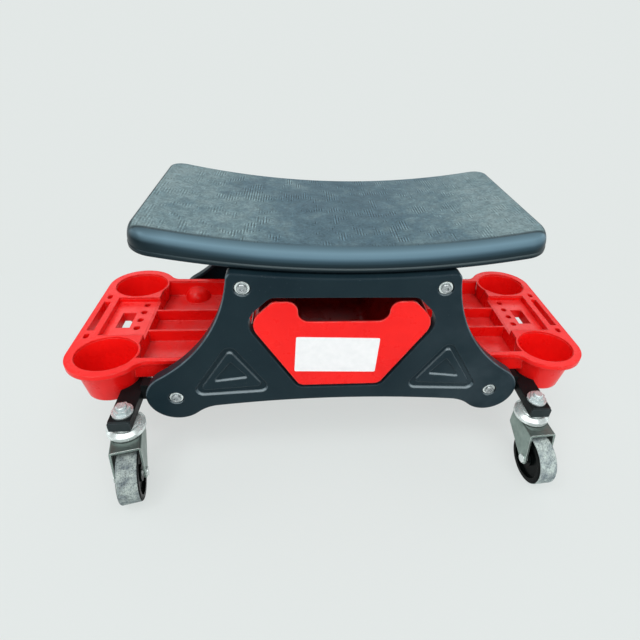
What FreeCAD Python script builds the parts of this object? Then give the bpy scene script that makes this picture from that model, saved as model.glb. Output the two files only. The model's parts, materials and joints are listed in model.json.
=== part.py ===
import FreeCAD, Part
import math
import os

# Rolling mechanic seat, millimetres, +X along the seat, front towards -Y, floor at zero height.
Vec = FreeCAD.Vector
AXIS_X = Vec(1, 0, 0)
AXIS_Y = Vec(0, 1, 0)
AXIS_Z = Vec(0, 0, 1)

# Shared allowances
OVERRUN = 2.0
RUN_GAP = 0.3
SHAFT_FIT = 0.05
SEAT_FIT = 0.1
ALIGNED_SHARE = 0.999

# Caster
TYRE_R = 31.75
TYRE_W = 24.0
TYRE_EDGE = 2.2
HUB_R = 27.8
HUB_RIM = 3.0
HUB_BOSS_R = 10.0
HUB_RECESS = 3.5
AXLE_R = 4.0
AXLE_HEAD_R = 5.5
AXLE_HEAD_H = 1.6
FORK_WALL = 2.5
FORK_SIDE_GAP = 2.8
FORK_FRONT = 34.0
FORK_BACK = 12.0
FORK_CROWN_T = 3.0
FORK_CROWN_Z = 71.5
FORK_BACK_H = 20.0
FORK_BEND_R = 3.0
FORK_TIP_R = 7.0
FORK_DISH_R = 18.6
FORK_DISH_EDGE = 1.0
FORK_DOME_R = 17.0
FORK_DOME_H = 2.4
TRAIL = 34.0
BALL_R = 2.4
BALL_RING_R = 14.0
BALL_COUNT = 10
RACE_R = 22.0
RACE_CONE_R = 17.5
RACE_STEP_R = 14.5
RACE_TOP_R = 11.0
RACE_SKIRT = 6.4
RACE_SKIRT_T = 2.8
RACE_LIP_H = 5.0
RACE_CAP_T = 2.5
RACE_STEP_H = 1.7
STUD_R = 6.0
STUD_HEAD_R = 11.0
STUD_HEAD_H = 3.6
STUD_RISE = 3.4
NUT_FLAT = 16.5
NUT_H = 5.0
NUT_FLANGE_R = 12.0
NUT_FLANGE_H = 2.5
CASTER_X = 256.0
CASTER_Y = 138.0
HEADING_LEFT = 12.0
HEADING_RIGHT = 3.3

# Steel frame
END_TUBE_W = 25.0
END_TUBE_H = 13.0
END_TUBE_Z = 89.0
END_TUBE_WALL = 1.5
END_TUBE_OVERHANG = 14.5
PLUG_T = 3.0
PLUG_DEPTH = 8.0
RAIL_T = 14.0
RAIL_H = 23.0
RAIL_WALL = 1.5
CROSSBAR_X = 132.0
CROSSBAR_W = 14.0
CROSSBAR_H = 14.0
CROSSBAR_LEDGE = 10.0
CROSSBAR_WALL = 1.5
TIE_R = 10.0

# Side panels
PANEL_FRONT_Y = 121.0
PANEL_DEPTH = 15.0
PANEL_FACE = 4.0
PANEL_WALL = 4.0
PANEL_EDGE = 2.5
PANEL_TOP_X = 127.0
PANEL_TOP_Z = 281.5
PANEL_TOP_SAG = 6.5
PANEL_TOP_CORNER = 7.0
PANEL_LOBE_R = 35.5
PANEL_FLANK_ANGLE = 58.0
PANEL_BEND_R = 45.0
PANEL_ARCH_Z = 97.0
PANEL_ARCH_R = 1400.0
UPPER_BOLT_X = 111.0
UPPER_BOLT_Z = 262.7
LOWER_BOLT_X = 198.4
LOWER_BOLT_Z = 104.3
BOLT_R = 4.0
BOLT_HEAD_R = 5.8
BOLT_HEAD_H = 3.6
BOLT_SOCKET_FLAT = 5.0
BOLT_SOCKET_DEPTH = 2.2
BOLT_GRIP = 22.0
WASHER_R = 8.0
WASHER_T = 1.4
WASHER_SEAT_R = 9.2
WASHER_SEAT_DEPTH = 3.0
BOSS_R = 13.0

# Embossed triangles on the panels: recess, raised island and core recess
TRI_X = 130.5
TRI_APEX_Z = 190.0
TRI_OUTER_X = 182.0
TRI_INNER_X = 81.0
TRI_OUTER_Z = 107.0
TRI_INNER_Z = 112.5
TRI_CORNER = 9.0
TRI_DEPTH = 3.0
TRI_DRAFT = 0.8
TRI_ISLAND_STEP = 6.5
TRI_ISLAND_RISE = 9.0
TRI_ISLAND_CORNER = 4.0
TRI_ISLAND_DROP = 0.5
TRI_CORE_STEP = 14.5
TRI_CORE_RISE = 22.0
TRI_CORE_CORNER = 2.0
TRI_BACK = 3.0

# Drawer and its opening
OPEN_TOP_X = 82.0
OPEN_TOP_Z = 251.0
OPEN_MID_X = 113.6
OPEN_MID_Z = 219.4
OPEN_MID_R = 27.0
OPEN_BOTTOM_X = 51.5
OPEN_BOTTOM_Z = 117.5
OPEN_CORNER = 13.0
DRAWER_SIDE_GAP = 2.2
DRAWER_MID_GAP_X = 6.0
DRAWER_MID_GAP_Z = 4.0
DRAWER_TOP_GAP = 7.0
DRAWER_WALL = 2.6
DRAWER_INSET = 2.0
DRAWER_MOUTH_Z = 228.0
DRAWER_TRAVEL = 150.0
NOTCH_X = 52.0
NOTCH_Z = 216.5
NOTCH_CORNER = 13.0
NOTCH_RISE = 16.0
HORN_R = 13.0
LABEL_X = -5.6
LABEL_W = 98.5
LABEL_H = 52.5
LABEL_Z = 167.6
LABEL_TILT = 2.0
LABEL_T = 0.4
LABEL_CORNER = 2.0
RUNNER_X = 25.0
RUNNER_GAP = 0.6
RUNNER_LIP_H = 22.0
RUNNER_LIP_T = 5.0
STOP_W = 20.0
STOP_T = 4.0
STOP_H = 4.5

# Tool trays
TRAY_WALL = 2.6
TRAY_JOINT = 0.2
TRAY_RIM_Z = 141.4
TRAY_DECK_Z = 132.6
TRAY_DECK_T = 14.0
TRAY_RAIL_T = 18.0
TRAY_FLOOR_T = 2.6
TRAY_LIP = 6.5
TRAY_LIP_T = 2.4
CUP_X = 286.3
CUP_Y = 78.3
CUP_R = 37.0
CUP_FLAT = 5.0
CUP_FLOOR_R = 29.0
CUP_FLOOR_Z = 87.0
CUP_RIM = 10.0
CUP_LEDGE_GAP = 1.0
RAIL_INNER_X = 308.5
DECK_INNER_X = 254.5
DECK_HALF_Y = 46.0
BIN_INNER_X = 118.0
BIN_HALF_Y = 91.0
BIN_RIM = 3.5
BIN_DIVIDER_Y = 23.3
TRAY_BLEND = 18.0
TOOL_HOLE_X = 268.7
TOOL_HOLE_PITCH = 18.0
TOOL_HOLE_COUNT = 5
TOOL_HOLE_R = 4.2
SQUARE_X = 287.5
SQUARE_LENGTH_X = 18.0
SQUARE_LENGTH_Y = 34.0
SLOT_INSET = 11.8
SLOT_W = 9.0
SLOT_L = 66.0
OVAL_INSET = 11.3
OVAL_Y = 44.8
OVAL_R = 3.2
OVAL_L = 10.0
DOME_X = 207.0
DOME_Y = 84.0
DOME_R = 19.0
DOME_H = 17.0
TRAY_SCREW_R = 2.5
TRAY_SCREW_HEAD_R = 5.0
TRAY_SCREW_HEAD_H = 2.5
TRAY_SCREW_Y = 55.0

# Seat
SEAT_HALF_X = 227.0
SEAT_HALF_Y = 113.0
SEAT_SAG = 24.3
SEAT_BOTTOM_Z = 277.5
PAN_T = 5.0
CUSHION_T = 20.0
CUSHION_ROLL = 15.0
CUSHION_HEM = 3.0
SEAT_CORNER = 25.0
PAN_INSET = 1.5
BRACKET_Y = 70.0
BRACKET_T = 3.0
BRACKET_FLANGE = 20.0
BRACKET_TOP_X = 150.0
BRACKET_BOTTOM_X = 124.0
BRACKET_BOTTOM_Z = 252.5
SCREW_X = 90.0
SCREW_R = 2.5
SCREW_HEAD_R = 5.0
SCREW_HEAD_H = 2.8

# Places that follow from the sizes above
END_TUBE_TOP = END_TUBE_Z + END_TUBE_H
END_TUBE_HALF_L = CASTER_Y + END_TUBE_OVERHANG
RAIL_FACE_Y = PANEL_FRONT_Y - PANEL_DEPTH
RAIL_BACK_Y = RAIL_FACE_Y - RAIL_T
RAIL_TOP = END_TUBE_Z + RAIL_H
FRAME_INNER_X = CASTER_X - END_TUBE_W / 2
FORK_CROWN_TOP = FORK_CROWN_Z + FORK_CROWN_T
FORK_INNER = TYRE_W / 2 + FORK_SIDE_GAP
FORK_OUTER = FORK_INNER + FORK_WALL
RACE_Z = FORK_CROWN_TOP + FORK_DOME_H + BALL_R + BALL_R + RUN_GAP
DRAWER_HALF_Y = PANEL_FRONT_Y - DRAWER_INSET
DRAWER_BOTTOM_Z = OPEN_BOTTOM_Z + DRAWER_SIDE_GAP
DRAWER_BOTTOM_X = OPEN_BOTTOM_X - DRAWER_SIDE_GAP
DRAWER_MID_X = OPEN_MID_X - DRAWER_MID_GAP_X
DRAWER_MID_Z = OPEN_MID_Z - DRAWER_MID_GAP_Z
DRAWER_TOP_X = OPEN_TOP_X - DRAWER_SIDE_GAP
DRAWER_TOP_Z = OPEN_TOP_Z - DRAWER_TOP_GAP
RUNNER_TOP = DRAWER_BOTTOM_Z - RUN_GAP
SEAT_ARC_R = (SEAT_HALF_X ** 2 + SEAT_SAG ** 2) / (2 * SEAT_SAG)
CUSHION_BOTTOM_Z = SEAT_BOTTOM_Z + PAN_T + SEAT_FIT
TRAY_OUTER_X = CUP_X + CUP_R + CUP_RIM
SLOT_X = TRAY_OUTER_X - SLOT_INSET
OVAL_X = TRAY_OUTER_X - OVAL_INSET
TRAY_UNDER_Z = TRAY_RIM_Z - TRAY_WALL
BIN_FLOOR_Z = RAIL_TOP + TRAY_FLOOR_T


def save(node, shape):
    shape.exportStep(os.path.join("parts", node + ".step"))


def fuse(shapes):
    first = shapes[0]
    if len(shapes) == 1:
        return first
    return first.fuse(shapes[1:]).removeSplitter()


def group(shapes):
    return Part.makeCompound(shapes)


def block(x0, x1, y0, y1, z0, z1):
    return Part.makeBox(x1 - x0, y1 - y0, z1 - z0, Vec(x0, y0, z0))


def post(radius, x, y, z0, z1):
    return Part.makeCylinder(radius, z1 - z0, Vec(x, y, z0), AXIS_Z)


def bar_y(radius, x, z, y0, y1):
    return Part.makeCylinder(radius, y1 - y0, Vec(x, y0, z), AXIS_Y)


def hexagon(flat, x, y, z0, z1):
    """Upright hexagonal prism across its flats."""
    radius = flat / math.sqrt(3)
    corners = []
    for step in range(7):
        angle = math.radians(60 * step)
        corners.append(Vec(x + radius * math.cos(angle), y + radius * math.sin(angle), z0))
    return Part.Face(Part.makePolygon(corners)).extrude(Vec(0, 0, z1 - z0))


def side_prism(points, y0, y1):
    """Prism along Y from corner points given as x and z."""
    corners = [Vec(x, y0, z) for x, z in points]
    corners.append(corners[0])
    return Part.Face(Part.makePolygon(corners)).extrude(Vec(0, y1 - y0, 0))


def end_prism(points, x0, x1):
    """Prism along X from corner points given as y and z."""
    corners = [Vec(x0, y, z) for y, z in points]
    corners.append(corners[0])
    return Part.Face(Part.makePolygon(corners)).extrude(Vec(x1 - x0, 0, 0))


def both_sides(points):
    """Close a half outline by its mirror image across the middle plane."""
    return points + [(-x, z) for x, z in reversed(points)]


def turned(points):
    """Solid of revolution about Z from corner points given as radius and height."""
    corners = [Vec(r, 0, z) for r, z in points]
    corners.append(corners[0])
    return Part.Face(Part.makePolygon(corners)).revolve(Vec(0, 0, 0), AXIS_Z, 360)


def long_edges(shape, axis):
    """Straight edges that run along one axis."""
    found = []
    for edge in shape.Edges:
        way = edge.Vertexes[-1].Point - edge.Vertexes[0].Point
        if abs(way.dot(axis)) > ALIGNED_SHARE * edge.Length:
            found.append(edge)
    return found


def rounded(shape, axis, radius):
    return shape.makeFillet(radius, long_edges(shape, axis))


def mirrored(shape):
    return shape.mirror(Vec(0, 0, 0), AXIS_X)


def half_turn(shape):
    copy = shape.copy()
    copy.rotate(Vec(0, 0, 0), AXIS_Z, 180)
    return copy


# Casters, built round a stem at the origin with the wheel trailing to the front


def tyre():
    half = TYRE_W / 2
    ring = bar_y(TYRE_R, 0, 0, -half, half)
    ring = ring.makeFillet(TYRE_EDGE, [e for e in ring.Edges if isinstance(e.Curve, Part.Circle)])
    return on_axle(ring.cut(bar_y(HUB_R, 0, 0, -half - OVERRUN, half + OVERRUN)))


def wheel_hub():
    half = TYRE_W / 2
    body = bar_y(HUB_R, 0, 0, -half, half)
    pocket = bar_y(HUB_R - HUB_RIM, 0, 0, half - HUB_RECESS, half + OVERRUN)
    pocket = pocket.cut(bar_y(HUB_BOSS_R, 0, 0, half - HUB_RECESS, half + OVERRUN))
    body = body.cut(pocket).cut(half_turn(pocket))
    return on_axle(body.cut(bar_y(AXLE_R + SHAFT_FIT, 0, 0, -half - OVERRUN, half + OVERRUN)))


def on_axle(shape):
    """Turn a wheel piece from the Y axis onto the caster's axle line."""
    shape.rotate(Vec(0, 0, 0), AXIS_Z, 90)
    shape.translate(Vec(0, -TRAIL, TYRE_R))
    return shape


def axle():
    reach = FORK_OUTER + AXLE_HEAD_H
    pin = bar_y(AXLE_R, 0, 0, -reach, reach)
    head = bar_y(AXLE_HEAD_R, 0, 0, FORK_OUTER, reach)
    return on_axle(fuse([pin, head, half_turn(head)]))


def fork():
    """Folded channel over the wheel with broad tapered cheeks and a raceway dish on top."""
    reach = FORK_OUTER + OVERRUN
    foot = TYRE_R - FORK_TIP_R
    shell = block(-FORK_OUTER, FORK_OUTER, -TRAIL - FORK_FRONT, FORK_BACK, foot, FORK_CROWN_TOP)
    shell = rounded(shell, AXIS_Y, FORK_BEND_R)
    space = block(-FORK_INNER, FORK_INNER, -TRAIL - FORK_FRONT - OVERRUN, FORK_BACK + OVERRUN, foot - OVERRUN,
                  FORK_CROWN_Z)
    cheek = [(FORK_BACK, FORK_CROWN_TOP), (FORK_BACK, FORK_CROWN_Z - FORK_BACK_H), (-TRAIL, foot),
             (-FORK_TIP_R - TRAIL, TYRE_R), (-FORK_FRONT, FORK_CROWN_Z), (-FORK_FRONT, FORK_CROWN_TOP)]
    side = end_prism(cheek, -reach, reach)
    side = side.fuse(Part.makeCylinder(FORK_TIP_R, 2 * reach, Vec(-reach, -TRAIL, TYRE_R), AXIS_X))
    body = fuse([shell.cut(space).common(side), raceway_dish()])
    top = FORK_CROWN_TOP + FORK_DOME_H + OVERRUN
    body = body.cut(post(STUD_R + SHAFT_FIT, 0, 0, FORK_CROWN_Z - OVERRUN, top))
    return body.cut(Part.makeCylinder(AXLE_R, 2 * reach, Vec(-reach, -TRAIL, TYRE_R), AXIS_X))


def raceway_dish():
    edge = FORK_CROWN_TOP + FORK_DISH_EDGE
    top = FORK_CROWN_TOP + FORK_DOME_H
    bore = STUD_R + SHAFT_FIT
    return turned([(bore, FORK_CROWN_TOP), (FORK_DISH_R, FORK_CROWN_TOP), (FORK_DISH_R, edge),
                   (FORK_DOME_R, top), (bore, top)])


def swivel_balls():
    height = FORK_CROWN_TOP + FORK_DOME_H + BALL_R
    balls = []
    for step in range(BALL_COUNT):
        angle = 2 * math.pi * step / BALL_COUNT
        place = Vec(BALL_RING_R * math.cos(angle), BALL_RING_R * math.sin(angle), height)
        balls.append(Part.makeSphere(BALL_R, place))
    return group(balls)


def swivel_race():
    """Pressed cap over the balls: a skirt, a coned top, a step and a collar up to the tube."""
    skirt_z = RACE_Z - RACE_SKIRT
    skirt_r = RACE_R - RACE_SKIRT_T
    bore = STUD_R + SHAFT_FIT
    shoulder = RACE_Z + RACE_CAP_T
    step = shoulder + RACE_STEP_H
    return turned([(bore, RACE_Z), (skirt_r, RACE_Z), (skirt_r, skirt_z), (RACE_R, skirt_z),
                   (RACE_R, skirt_z + RACE_LIP_H), (RACE_CONE_R, shoulder), (RACE_STEP_R, shoulder),
                   (RACE_STEP_R, step), (RACE_TOP_R, step), (RACE_TOP_R, END_TUBE_Z), (bore, END_TUBE_Z)])


def stud_top():
    return END_TUBE_TOP + NUT_FLANGE_H + NUT_H + STUD_RISE


def stud():
    head_top = FORK_CROWN_Z - RUN_GAP
    shaft = post(STUD_R, 0, 0, head_top, stud_top())
    tip = max(shaft.Edges, key=lambda e: e.BoundBox.ZMin)
    shaft = shaft.makeFillet(STUD_RISE / 2, [tip])
    return fuse([post(STUD_HEAD_R, 0, 0, head_top - STUD_HEAD_H, head_top), shaft])


def stud_nut():
    top = END_TUBE_TOP + NUT_FLANGE_H
    body = fuse([post(NUT_FLANGE_R, 0, 0, END_TUBE_TOP, top), hexagon(NUT_FLAT, 0, 0, top, top + NUT_H)])
    return body.cut(post(STUD_R + SHAFT_FIT, 0, 0, END_TUBE_TOP - OVERRUN, top + NUT_H + OVERRUN))


CASTER_PLACES = (
    ("front_left", -CASTER_X, -CASTER_Y, HEADING_LEFT),
    ("front_right", CASTER_X, -CASTER_Y, HEADING_RIGHT),
    ("rear_right", CASTER_X, CASTER_Y, HEADING_LEFT + 180),
    ("rear_left", -CASTER_X, CASTER_Y, HEADING_RIGHT + 180),
)


def placed(shape, place):
    name, x, y, heading = place
    copy = shape.copy()
    copy.rotate(Vec(0, 0, 0), AXIS_Z, heading)
    copy.translate(Vec(x, y, 0))
    return copy


def save_casters():
    pieces = {"tyre": tyre(), "wheel_hub": wheel_hub(), "axle": axle(), "fork": fork(),
              "swivel_balls": swivel_balls(), "swivel_race": swivel_race(), "stud": stud()}
    for place in CASTER_PLACES:
        for piece, shape in pieces.items():
            save("caster_" + place[0] + "_" + piece, placed(shape, place))
    save("caster_nuts", group([placed(stud_nut(), place) for place in CASTER_PLACES]))


# Steel frame


def tube_along(x0, x1, y0, y1, z0, z1, wall, along):
    """Rectangular tube, open at both ends along the named axis."""
    outer = block(x0, x1, y0, y1, z0, z1)
    if along == "x":
        inner = block(x0 - OVERRUN, x1 + OVERRUN, y0 + wall, y1 - wall, z0 + wall, z1 - wall)
    else:
        inner = block(x0 + wall, x1 - wall, y0 - OVERRUN, y1 + OVERRUN, z0 + wall, z1 - wall)
    return outer.cut(inner)


def end_tube():
    x0 = CASTER_X - END_TUBE_W / 2
    x1 = CASTER_X + END_TUBE_W / 2
    body = tube_along(x0, x1, -END_TUBE_HALF_L, END_TUBE_HALF_L, END_TUBE_Z, END_TUBE_TOP, END_TUBE_WALL, "y")
    for y in (-CASTER_Y, CASTER_Y):
        body = body.cut(post(STUD_R + SHAFT_FIT, CASTER_X, y, END_TUBE_Z - OVERRUN, END_TUBE_TOP + OVERRUN))
    return body


def end_plug():
    """Plastic plug that closes the front end of the right-hand tube."""
    x0 = CASTER_X - END_TUBE_W / 2
    x1 = CASTER_X + END_TUBE_W / 2
    y0 = -END_TUBE_HALF_L
    cap = rounded(block(x0, x1, y0 - PLUG_T, y0, END_TUBE_Z, END_TUBE_TOP), AXIS_Y, PLUG_T / 2)
    inset = END_TUBE_WALL + SEAT_FIT
    tongue_end = min(y0 + PLUG_DEPTH, -CASTER_Y - STUD_R - RUN_GAP)
    tongue = block(x0 + inset, x1 - inset, y0, tongue_end, END_TUBE_Z + inset, END_TUBE_TOP - inset)
    return fuse([cap, tongue])


def cross_rail():
    """Front rail between the end tubes, drilled for the lower panel bolts."""
    reach = FRAME_INNER_X
    body = tube_along(-reach, reach, -RAIL_FACE_Y, -RAIL_BACK_Y, END_TUBE_Z, RAIL_TOP, RAIL_WALL, "x")
    for x in (-LOWER_BOLT_X, LOWER_BOLT_X):
        front = -RAIL_FACE_Y - OVERRUN
        body = body.cut(bar_y(BOLT_R + SHAFT_FIT, x, LOWER_BOLT_Z, front, -RAIL_BACK_Y + OVERRUN))
    return body


def crossbar():
    """Bar from rail to rail under the inner end of the right tray, with a ledge beyond it."""
    x0 = CROSSBAR_X - CROSSBAR_W / 2 - CROSSBAR_LEDGE
    x1 = CROSSBAR_X + CROSSBAR_W / 2
    z0 = RAIL_TOP - CROSSBAR_H
    body = tube_along(x0, x1, -RAIL_BACK_Y, RAIL_BACK_Y, z0, RAIL_TOP, CROSSBAR_WALL, "y")
    for y in (-TRAY_SCREW_Y, TRAY_SCREW_Y):
        body = body.cut(post(TRAY_SCREW_R + SHAFT_FIT, CROSSBAR_X, y, z0 - OVERRUN, RAIL_TOP + OVERRUN))
    return body


def tie_tube():
    """Threaded tie between the panels under the right side of the seat."""
    body = bar_y(TIE_R, UPPER_BOLT_X, UPPER_BOLT_Z, -RAIL_FACE_Y, RAIL_FACE_Y)
    return body.cut(bar_y(BOLT_R + SHAFT_FIT, UPPER_BOLT_X, UPPER_BOLT_Z, -RAIL_FACE_Y - OVERRUN,
                          RAIL_FACE_Y + OVERRUN))


def stop_tab():
    """Tab on the front rail that ends the drawer's travel."""
    return block(-STOP_W / 2, STOP_W / 2, -RAIL_BACK_Y - STOP_T, -RAIL_BACK_Y, RAIL_TOP, RAIL_TOP + STOP_H)


def save_frame():
    tube = end_tube()
    save("end_tube_right", tube)
    save("end_tube_left", mirrored(tube))
    save("crossbars", group([crossbar(), mirrored(crossbar())]))
    save("tie_tubes", group([tie_tube(), mirrored(tie_tube())]))
    plug = end_plug()
    save("end_plugs", group([plug, mirrored(plug), half_turn(plug), half_turn(mirrored(plug))]))
    save("cross_rail_front", cross_rail())
    save("cross_rail_rear", half_turn(cross_rail()))
    save("drawer_stop_tabs", group([stop_tab(), half_turn(stop_tab())]))


# Side panels


def panel_point(x, z):
    return Vec(x, -PANEL_FRONT_Y, z)


def flipped(point):
    return Vec(-point.x, point.y, point.z)


def toward(start, target, length):
    """Point at a given length from one point towards another."""
    way = target - start
    return start + way * (length / way.Length)


def inner_crossing(centre_a, radius_a, centre_b, radius_b):
    """Crossing of two circles in the panel's plane, on the side nearer the middle."""
    way = centre_b - centre_a
    gap = way.Length
    along = (gap ** 2 + radius_a ** 2 - radius_b ** 2) / (2 * gap)
    across = math.sqrt(radius_a ** 2 - along ** 2)
    foot = toward(centre_a, centre_b, along)
    side = Vec(-way.z, 0, way.x) * (across / gap)
    return min(foot + side, foot - side, key=lambda point: point.x)


def flank_arc(top, lobe):
    """Hollow flank from the top corner, running smoothly into the round foot."""
    angle = math.radians(PANEL_FLANK_ANGLE)
    out = Vec(math.cos(angle), 0, math.sin(angle))
    end = lobe + out * PANEL_LOBE_R
    span = end - top
    radius = -span.dot(span) / (2 * span.dot(out))
    centre = end + out * radius
    return top, toward(centre, (top + end) / 2, radius), end


def panel_outline():
    """Closed smooth outline of the flared panel with its two round feet."""
    top = panel_point(PANEL_TOP_X, PANEL_TOP_Z)
    lobe = panel_point(LOWER_BOLT_X, LOWER_BOLT_Z)
    flank = flank_arc(top, lobe)
    arch_centre = panel_point(0, PANEL_ARCH_Z - PANEL_ARCH_R)
    bend = inner_crossing(lobe, PANEL_LOBE_R + PANEL_BEND_R, arch_centre, PANEL_ARCH_R - PANEL_BEND_R)
    lobe_end = toward(lobe, bend, PANEL_LOBE_R)
    foot = toward(arch_centre, bend, PANEL_ARCH_R)
    lobe_far = toward(lobe, lobe * 2 - (flank[2] + lobe_end) / 2, PANEL_LOBE_R)
    bend_mid = toward(bend, (lobe_end + foot) / 2, PANEL_BEND_R)
    half = [flank, (flank[2], lobe_far, lobe_end), (lobe_end, bend_mid, foot)]
    arcs = [Part.Arc(first, second, third) for first, second, third in half]
    arcs.append(Part.Arc(foot, panel_point(0, PANEL_ARCH_Z), flipped(foot)))
    for first, second, third in reversed(half):
        arcs.append(Part.Arc(flipped(third), flipped(second), flipped(first)))
    arcs.append(Part.Arc(flipped(top), panel_point(0, PANEL_TOP_Z - PANEL_TOP_SAG), top))
    return Part.Wire([arc.toShape() for arc in arcs])


def panel_shell():
    """Face with a rounded front edge and a flange all the way round."""
    outline = Part.Face(panel_outline())
    body = outline.extrude(Vec(0, PANEL_DEPTH, 0))
    corners = [e for e in long_edges(body, AXIS_Y) if e.BoundBox.ZMin > PANEL_TOP_Z - PANEL_TOP_SAG]
    body = body.makeFillet(PANEL_TOP_CORNER, corners)
    front = [e for e in body.Edges if e.BoundBox.YMax < -PANEL_FRONT_Y + PANEL_EDGE / 2]
    body = body.makeFillet(PANEL_EDGE, front)
    hollow = outline.makeOffset2D(-PANEL_WALL).extrude(Vec(0, PANEL_DEPTH, 0))
    hollow.translate(Vec(0, PANEL_FACE, 0))
    return body.cut(hollow)


def six_sided(half, y0, y1, corner, waist):
    """Six-sided prism along Y with rounded corners and a larger round at its waist."""
    body = side_prism(both_sides(half), y0, y1)
    waist_z = half[1][1]
    wide = [e for e in long_edges(body, AXIS_Y) if abs(e.CenterOfMass.z - waist_z) < OVERRUN]
    body = body.makeFillet(waist, wide)
    ends = [e for e in long_edges(body, AXIS_Y) if min(abs(e.CenterOfMass.z - z) for x, z in half) < OVERRUN]
    return body.makeFillet(corner, ends)


def opening_prism(grow, y0, y1):
    """The drawer opening, grown on all sides, with rounded corners."""
    half = [(OPEN_TOP_X + grow / 2, OPEN_TOP_Z + grow), (OPEN_MID_X + grow, OPEN_MID_Z),
            (OPEN_BOTTOM_X + grow / 2, OPEN_BOTTOM_Z - grow)]
    return six_sided(half, y0, y1, OPEN_CORNER + grow, OPEN_MID_R + grow)


def triangle_prism(inset, rise, corner, y0, y1):
    """One embossed triangle on the right of the panel, drawn in at its sides and raised at its base."""
    points = [(TRI_X, TRI_APEX_Z - 2 * inset), (TRI_OUTER_X - 2 * inset, TRI_OUTER_Z + rise),
              (TRI_INNER_X + 2 * inset, TRI_INNER_Z + rise)]
    return rounded(side_prism(points, y0, y1), AXIS_Y, corner)


def triangle_wire(inset, rise, corner, y):
    prism = triangle_prism(inset, rise, corner, y, y + TRI_DEPTH)
    return min(prism.Faces, key=lambda face: face.CenterOfMass.y).OuterWire


def sloped_triangle(inset, rise, corner, y0, y1, draft):
    """Triangle whose walls slope inwards by a draft from the first plane to the second."""
    first = triangle_wire(inset, rise, corner, y0)
    second = triangle_wire(inset + draft, rise + draft, corner, y1)
    return Part.makeLoft([first, second], True, True)


def triangle_pockets():
    """Recess with sloped walls round a raised island, which has a core recess of its own."""
    face = -PANEL_FRONT_Y
    floor = face + TRI_DEPTH
    top = face + TRI_ISLAND_DROP
    proud = TRI_DRAFT * OVERRUN / TRI_DEPTH
    recess = sloped_triangle(-proud, -proud, TRI_CORNER, face - OVERRUN, floor, TRI_DRAFT + proud)
    island = sloped_triangle(TRI_ISLAND_STEP, TRI_ISLAND_RISE, TRI_ISLAND_CORNER, top, floor + OVERRUN,
                             -TRI_DRAFT)
    core = sloped_triangle(TRI_CORE_STEP, TRI_CORE_RISE, TRI_CORE_CORNER, face, floor, TRI_DRAFT)
    return recess.cut(island.cut(core))


def bolt_places():
    right = ((UPPER_BOLT_X, UPPER_BOLT_Z), (LOWER_BOLT_X, LOWER_BOLT_Z))
    return [(side * x, z) for side in (-1, 1) for x, z in right]


def side_panel():
    face = -PANEL_FRONT_Y
    back = face + PANEL_DEPTH
    solids = [panel_shell()]
    pad = triangle_prism(0, 0, TRI_CORNER, face + PANEL_FACE, face + TRI_DEPTH + TRI_BACK)
    solids += [opening_prism(PANEL_WALL, face + PANEL_FACE, back), pad, mirrored(pad)]
    for x, z in bolt_places():
        solids.append(bar_y(BOSS_R, x, z, face + PANEL_FACE, back))
    body = fuse(solids)
    body = body.cut(opening_prism(0, face - OVERRUN, back + OVERRUN))
    pockets = triangle_pockets()
    body = body.cut(pockets).cut(mirrored(pockets))
    for x, z in bolt_places():
        body = body.cut(bar_y(BOLT_R + SHAFT_FIT, x, z, face - OVERRUN, back + OVERRUN))
        body = body.cut(bar_y(WASHER_SEAT_R, x, z, face - OVERRUN, face + WASHER_SEAT_DEPTH))
    return body


def panel_bolt(x, z):
    """Button-head socket bolt into the frame behind the front panel."""
    under = -PANEL_FRONT_Y + WASHER_SEAT_DEPTH - WASHER_T
    head = bar_y(BOLT_HEAD_R, x, z, under - BOLT_HEAD_H, under)
    rim = [e for e in head.Edges if e.BoundBox.YMax < under - BOLT_HEAD_H / 2]
    head = head.makeFillet(BOLT_HEAD_H / 2, rim)
    socket = hexagon(BOLT_SOCKET_FLAT, 0, 0, 0, BOLT_SOCKET_DEPTH + OVERRUN)
    socket.rotate(Vec(0, 0, 0), AXIS_X, -90)
    socket.translate(Vec(x, under - BOLT_HEAD_H - OVERRUN, z))
    shank = bar_y(BOLT_R, x, z, under, under + BOLT_GRIP)
    return fuse([head.cut(socket), shank])


def panel_washer(x, z):
    seat = -PANEL_FRONT_Y + WASHER_SEAT_DEPTH
    ring = bar_y(WASHER_R, x, z, seat - WASHER_T, seat)
    return ring.cut(bar_y(BOLT_R + SHAFT_FIT, x, z, seat - WASHER_T - OVERRUN, seat + OVERRUN))


def save_panels():
    panel = side_panel()
    save("side_panel_front", panel)
    save("side_panel_rear", half_turn(panel))
    bolts = [panel_bolt(x, z) for x, z in bolt_places()]
    washers = [panel_washer(x, z) for x, z in bolt_places()]
    save("panel_bolts", group(bolts + [half_turn(bolt) for bolt in bolts]))
    save("panel_washers", group(washers + [half_turn(washer) for washer in washers]))


# Drawer


def drawer_prism(shrink, top, y0, y1):
    """The drawer's six-sided section, drawn in by a wall, up to a given top."""
    rise = DRAWER_MID_Z - DRAWER_BOTTOM_Z
    run = DRAWER_MID_X - DRAWER_BOTTOM_X
    slant = shrink * math.hypot(run, rise) / rise
    foot_z = DRAWER_BOTTOM_Z + shrink
    foot_x = DRAWER_BOTTOM_X - slant + shrink * run / rise
    half = [(DRAWER_TOP_X - shrink, DRAWER_TOP_Z), (DRAWER_MID_X - slant, DRAWER_MID_Z), (foot_x, foot_z)]
    body = six_sided(half, y0, y1, OPEN_CORNER - DRAWER_SIDE_GAP, OPEN_MID_R - DRAWER_MID_GAP_Z)
    return body.common(block(-DRAWER_MID_X, DRAWER_MID_X, y0, y1, DRAWER_BOTTOM_Z, top))


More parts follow.
